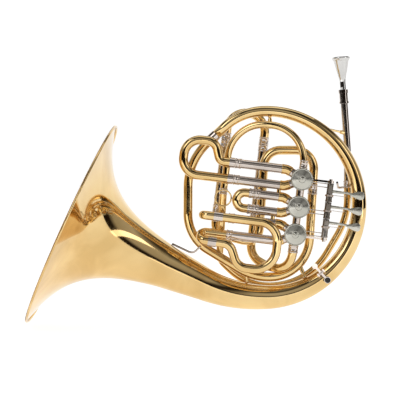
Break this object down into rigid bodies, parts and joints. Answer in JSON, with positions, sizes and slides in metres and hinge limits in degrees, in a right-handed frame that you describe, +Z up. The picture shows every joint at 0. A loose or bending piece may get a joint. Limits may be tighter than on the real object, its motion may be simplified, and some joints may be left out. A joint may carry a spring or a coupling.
{
  "type": "french horn",
  "caption": "Wrapped conical brass horn with a wide flared bell, rotary valves, finger levers, pull-out slides and a removable mouthpiece.",
  "frame": {"origin": "centre of the bell's rim plane", "axes": "+X across the horn from the bell to the finger levers, +Z up towards the mouthpiece, -Y towards the side where the left hand works the levers"},
  "size_m": [0.4899, 0.312, 0.3854],
  "materials": {
    "lacquered_brass": "polished and clear lacquered",
    "nickel_silver": "polished nickel silver",
    "satin_nickel": "satin",
    "silver_plate": "polished silver plate",
    "plain_brass": "machined",
    "black_rubber": "matte",
    "cork": "natural"
  },
  "bodies": {
    "horn": {"bell_flare": "lacquered_brass", "bell_rim_wire": "lacquered_brass", "bell_branch": "lacquered_brass", "branch_ferrule": "nickel_silver", "loop_tube": "lacquered_brass", "back_loop": "lacquered_brass", "exit_bow": "lacquered_brass", "entry_bow": "lacquered_brass", "leadpipe": "nickel_silver", "mouthpiece_receiver": "nickel_silver", "tuning_outer_tubes": "nickel_silver", "valve_1_casing": "lacquered_brass", "valve_2_casing": "lacquered_brass", "valve_3_casing": "lacquered_brass", "valve_knuckles": "nickel_silver", "valve_caps": "satin_nickel", "bearing_plates": "plain_brass", "stop_corks": "cork", "slide_1_outer": "nickel_silver", "slide_2_outer": "nickel_silver", "slide_3_outer": "nickel_silver", "lever_axle": "nickel_silver", "axle_posts": "nickel_silver", "finger_hook": "nickel_silver", "tube_braces": "lacquered_brass", "bell_stay": "nickel_silver", "key_saddle": "nickel_silver", "key_nipple": "lacquered_brass"},
    "tuning_slide_body": {"tuning_slide": "lacquered_brass", "tuning_slide_legs": "nickel_silver"},
    "slide_1_body": {"slide_1": "lacquered_brass", "slide_1_legs": "nickel_silver", "slide_1_ferrules": "nickel_silver"},
    "slide_2_body": {"slide_2": "lacquered_brass", "slide_2_legs": "nickel_silver", "pull_ring": "lacquered_brass"},
    "slide_3_body": {"slide_3": "lacquered_brass", "slide_3_legs": "nickel_silver", "slide_3_ferrules": "nickel_silver"},
    "mouthpiece_body": {"mouthpiece": "silver_plate"},
    "water_key_body": {"key_arm": "nickel_silver", "key_pad": "black_rubber"},
    "rotor_1_body": {"rotor_1": "nickel_silver"},
    "lever_1_body": {"lever_1": "satin_nickel", "lever_1_spring": "nickel_silver"},
    "link_1_body": {"link_1": "nickel_silver"},
    "rotor_2_body": {"rotor_2": "nickel_silver"},
    "lever_2_body": {"lever_2": "satin_nickel", "lever_2_spring": "nickel_silver"},
    "link_2_body": {"link_2": "nickel_silver"},
    "rotor_3_body": {"rotor_3": "nickel_silver"},
    "lever_3_body": {"lever_3": "satin_nickel", "lever_3_spring": "nickel_silver"},
    "link_3_body": {"link_3": "nickel_silver"}
  },
  "joints": [
    {"name": "tuning_slide_pull", "type": "slide", "parent": "horn", "child": "tuning_slide_body", "axis": [0.1219, 0, 0.9925], "range_m": [0, 0.045]},
    {"name": "slide_1_pull", "type": "slide", "parent": "horn", "child": "slide_1_body", "axis": [-0.9925, 0, 0.1219], "range_m": [0, 0.045]},
    {"name": "slide_2_pull", "type": "slide", "parent": "horn", "child": "slide_2_body", "axis": [-0.9925, 0, 0.1219], "range_m": [0, 0.025]},
    {"name": "slide_3_pull", "type": "slide", "parent": "horn", "child": "slide_3_body", "axis": [-0.9925, 0, 0.1219], "range_m": [0, 0.04]},
    {"name": "mouthpiece_lift", "type": "slide", "parent": "horn", "child": "mouthpiece_body", "axis": [-0.0714, 0, 0.9975], "range_m": [0, 0.06]},
    {"name": "water_key_press", "type": "hinge", "parent": "horn", "child": "water_key_body", "pos_m": [0.35884, -0.01864, -0.07018], "axis": [-0.7371, 0, -0.6758], "range_deg": [0, 12], "stiffness_Nm_per_rad": 0.02, "springref_deg": -11.46},
    {"name": "rotor_1_turn", "type": "hinge", "parent": "horn", "child": "rotor_1_body", "pos_m": [0.33081, -0.021, 0.06321], "axis": [0, 1, 0], "range_deg": [0, 90]},
    {"name": "lever_1_press", "type": "hinge", "parent": "horn", "child": "lever_1_body", "pos_m": [0.36769, -0.022, 0.01888], "axis": [0.1219, 0, 0.9925], "range_deg": [0, 20.01]},
    {"name": "link_1_run", "type": "slide", "parent": "horn", "child": "link_1_body", "axis": [-0.9925, 0, 0.1219], "range_m": [0, 0.00651]},
    {"name": "rotor_2_turn", "type": "hinge", "parent": "horn", "child": "rotor_2_body", "pos_m": [0.326, -0.021, 0.024], "axis": [0, 1, 0], "range_deg": [0, 90]},
    {"name": "lever_2_press", "type": "hinge", "parent": "horn", "child": "lever_2_body", "pos_m": [0.36769, -0.022, 0.01888], "axis": [0.1219, 0, 0.9925], "range_deg": [0, 20.01]},
    {"name": "link_2_run", "type": "slide", "parent": "horn", "child": "link_2_body", "axis": [-0.9925, 0, 0.1219], "range_m": [0, 0.00651]},
    {"name": "rotor_3_turn", "type": "hinge", "parent": "horn", "child": "rotor_3_body", "pos_m": [0.32119, -0.021, -0.01521], "axis": [0, -1, 0], "range_deg": [0, 90]},
    {"name": "lever_3_press", "type": "hinge", "parent": "horn", "child": "lever_3_body", "pos_m": [0.36769, -0.022, 0.01888], "axis": [0.1219, 0, 0.9925], "range_deg": [0, 20.01]},
    {"name": "link_3_run", "type": "slide", "parent": "horn", "child": "link_3_body", "axis": [-0.9925, 0, 0.1219], "range_m": [0, 0.00651]}
  ],
  "couplings": [
    {"joint": "lever_1_press", "follows": "rotor_1_turn", "ratio": 0.22222},
    {"joint": "link_1_run", "follows": "rotor_1_turn", "m_per_rad": 0.0041413},
    {"joint": "lever_2_press", "follows": "rotor_2_turn", "ratio": 0.22222},
    {"joint": "link_2_run", "follows": "rotor_2_turn", "m_per_rad": 0.0041413},
    {"joint": "lever_3_press", "follows": "rotor_3_turn", "ratio": 0.22222},
    {"joint": "link_3_run", "follows": "rotor_3_turn", "m_per_rad": 0.0041413}
  ]
}
